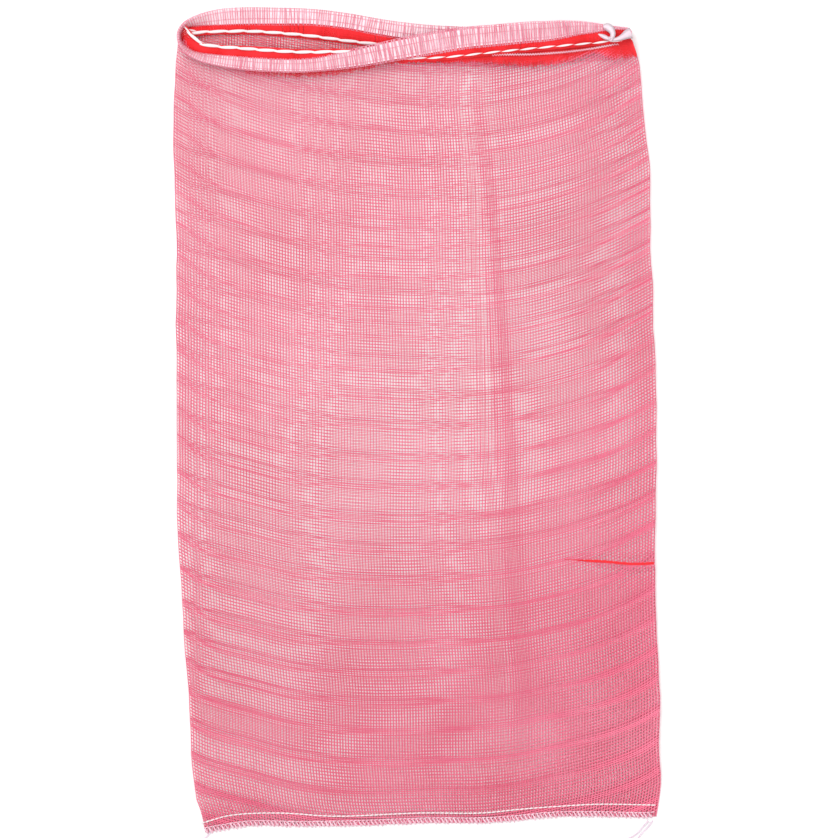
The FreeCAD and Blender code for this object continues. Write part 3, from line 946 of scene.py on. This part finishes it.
def overlockLine(s, top):
    # the looper runs from the needle line over the raw edge and back, once a stitch
    draw = random.Random(s["topSeed"] if top else s["underSeed"])
    count = int((s["east"] - s["west"]) / s["pitch"])
    high = seamTop if top else s["under"]
    line = []
    for i in range(count):
        x = s["west"] + i * s["pitch"] + draw.uniform(-0.4, 0.4) * mm
        y = bottomLine(x)
        jog = draw.uniform(-0.8, 0.8) * mm
        full = draw.uniform(1.2, 2.0)
        lift = 0.5 * mm if top else 0
        line.append((x, y + s["depth"] + jog, high, full * 0.8))
        line.append((x + s["lean"] * 0.5, y + s["depth"] * 0.5, high + lift, full))
        line.append((x + s["lean"], y + 0.2 * mm + jog, high, full))
        line.append((x + s["lean"] + 0.4 * mm, y - 0.9 * mm + jog, s["edge"], 1.1))
        line.append((x + s["lean"] + 0.8 * mm, y + 0.3 * mm + jog, high - 0.3 * mm, 0.7))
        line.append((x + s["lean"] * 0.8 + 0.9 * mm, y + s["depth"] * 0.6, high - 0.3 * mm, 0.6))
    return line


def makeOverlock(name, nodeName, top, s):
    made = makeYarns(name, [overlockLine(s, top)], s["thread"], 0, flat=False)
    finishPiece(made, overlockMaterial, [nodeName])


def overlockNeedleLine(x):
    return bottomLine(x) + overlockSettings["depth"]


makeOverlock("overlockUpper", "overlock_upper_looper", True, overlockSettings)
makeOverlock("overlockLower", "overlock_lower_looper", False, overlockSettings)
edgeRun = seamRun(overlockNeedleLine, seamTop, overlockSettings["pitch"], overlockSettings)
edgeNodes = ["overlock_needle_thread"]
edgeNeedle = dict(seamSettings, width=1.1 * mm)
makeStitches("overlockNeedle", edgeRun, edgeNeedle, overlockMaterial, edgeNodes)
print("stitches made")


# thread chains left hanging at the lower corners
threadEnds = {
    "thread_tail_left": [
        (-192, -386.9, 1.3), (-196, -392.5, 1), (-202, -396.6, 0.75),
        (-209.5, -398.3, 0.75), (-216.6, -397, 0.75), (-223, -399.6, 0.75),
    ],
    "thread_tail_right_a": [
        (223.5, -377.2, 1.3), (219.5, -383.5, 1), (213.5, -388.8, 0.75),
        (209, -395.3, 0.75), (202.5, -399.5, 0.75), (194.8, -400.4, 0.75),
    ],
    "thread_tail_right_b": [
        (219.5, -377.4, 1.3), (214.5, -382.5, 1), (210, -388.5, 0.75),
        (204, -393, 0.75), (196.8, -395.6, 0.75), (189.5, -395, 0.75),
    ],
}
threadEndSettings = {
    "width": 1.4 * mm,
    "lengths": {"thread_tail_left": 0.035, "thread_tail_right_a": 0.038, "thread_tail_right_b": 0.036},
}


def makeThreadEnd(nodeName, points, s):
    name = nodeName.replace("thread_tail", "threadEnd")
    data = bpy.data.curves.new(name, "CURVE")
    data.dimensions = "3D"
    data.bevel_depth = s["width"] / 2
    data.bevel_resolution = 3
    data.use_fill_caps = True
    spline = data.splines.new("NURBS")
    spline.points.add(len(points) - 1)
    for point, place in zip(spline.points, points):
        point.co = (*(Vector(place) * mm), 1)
    spline.order_u = 3
    spline.use_endpoint_u = True
    data.materials.append(endMaterial)
    made = placed(name, data)
    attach(made, "bag")
    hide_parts(nodeName)


for nodeName, points in threadEnds.items():
    makeThreadEnd(nodeName, points, threadEndSettings)
print("thread ends made")


# each strand of the tape's end is a run of x, y, z and width in mm
strands = {
    "drawstringNeck": [
        (176.2, 369.0, 12.2, 3.6), (179, 369.2, 13.0, 7.4), (182, 367.6, 14.2, 7.8),
        (184.3, 364.8, 15.0, 6.2), (185.2, 361.6, 15.3, 5.0), (184.6, 358.8, 15.5, 4.2),
        (183.2, 356.8, 15.6, 3.4),
    ],
    "drawstringStub": [
        (182.8, 356.8, 15.4, 2.4), (180.4, 357.6, 15.3, 3.6), (177.6, 359.0, 15.1, 4.4),
        (174.6, 360.4, 14.8, 3.6), (171.4, 361.8, 14.4, 1.0),
    ],
    "drawstringTail": [
        (183, 356.6, 15.2, 2.4), (186.6, 356.6, 15.2, 2.8), (191, 357.6, 15.1, 4.4),
        (195.2, 359.6, 15.0, 6.6), (199, 362, 14.8, 9.4), (202.4, 363, 14.6, 10.6),
    ],
}
knotSettings = {
    "strandThick": 0.7 * mm / 6,  # a strand is this thick for each mm of half its width
    "middle": (183 * mm, 357.1 * mm), "sink": 0.9 * mm, "steps": 36, "loop": 1.5 * mm,
    "rise": 0.9 * mm, "width": 1.9 * mm, "thick": 0.9 * mm,
    "stretchStart": (176.5 * mm, 370.5 * mm, 14 * mm), "stretchEnd": (183.5 * mm, 364.5 * mm, 14 * mm),
}


def makeStrand(name, points, thick):
    # a flat tape that changes width along its run
    data = bpy.data.curves.new(name, "CURVE")
    data.dimensions = "3D"
    data.twist_mode = "Z_UP"
    data.use_fill_caps = True
    data.resolution_u = 6
    profile = makeProfile(tapeSection, 2 * mm, thick)
    data.bevel_mode = "OBJECT"
    data.bevel_object = profile
    spline = data.splines.new("NURBS")
    spline.points.add(len(points) - 1)
    for point, (x, y, z, width) in zip(spline.points, points):
        point.co = (x * mm, y * mm, z * mm, 1)
        point.radius = width / 2
    spline.order_u = 3
    spline.use_endpoint_u = True
    return fromCurve(name, data, profile)


def makeKnot(s):
    # the tape drawn up into one small overhand knot
    centre = Vector((*s["middle"], knotTop - s["sink"]))
    points = []
    for i in range(s["steps"]):
        a = 2 * math.pi * i / s["steps"]
        r = s["loop"] * (0.75 + 0.35 * math.cos(3 * a))
        across = r * math.cos(2 * a)
        along = r * math.sin(2 * a)
        points.append(centre + Vector((across, along, s["rise"] * math.sin(3 * a))))
    made = makeYarns("drawstringKnot", [points], s["width"], s["thick"], closed=True)
    finishPiece(made, tapeMaterial, ["drawstring_knot"], "drawstring_end")


def makeNeck(s):
    made = makeStrand("drawstringNeck", strands["drawstringNeck"], s["strandThick"])
    finishPiece(made, tapeMaterial, ["drawstring_neck"], None)
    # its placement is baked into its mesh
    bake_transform(made)


makeNeck(knotSettings)
for name, nodeName in (("drawstringStub", "drawstring_stub"), ("drawstringTail", "drawstring_tail")):
    made = makeStrand(name, strands[name], knotSettings["strandThick"])
    finishPiece(made, tapeMaterial, [nodeName], "drawstring_end")
makeKnot(knotSettings)
print("drawstring made")


[pinchFold] + hemPieces


floorSettings = {"half": 6, "colour": (0.93, 0.93, 0.93), "rough": 0.9}


def makeFloor(s):
    build = bmesh.new()
    bmesh.ops.create_grid(build, x_segments=1, y_segments=1, size=s["half"])
    made = fromBuild("floor", build, rounded=False)
    material = bpy.data.materials.new("paleFloor")
    material.use_nodes = True
    shader = material.node_tree.nodes["Principled BSDF"]
    shader.inputs["Base Color"].default_value = (*s["colour"], 1)
    shader.inputs["Roughness"].default_value = s["rough"]
    made.data.materials.append(material)


makeFloor(floorSettings)
print("floor made")
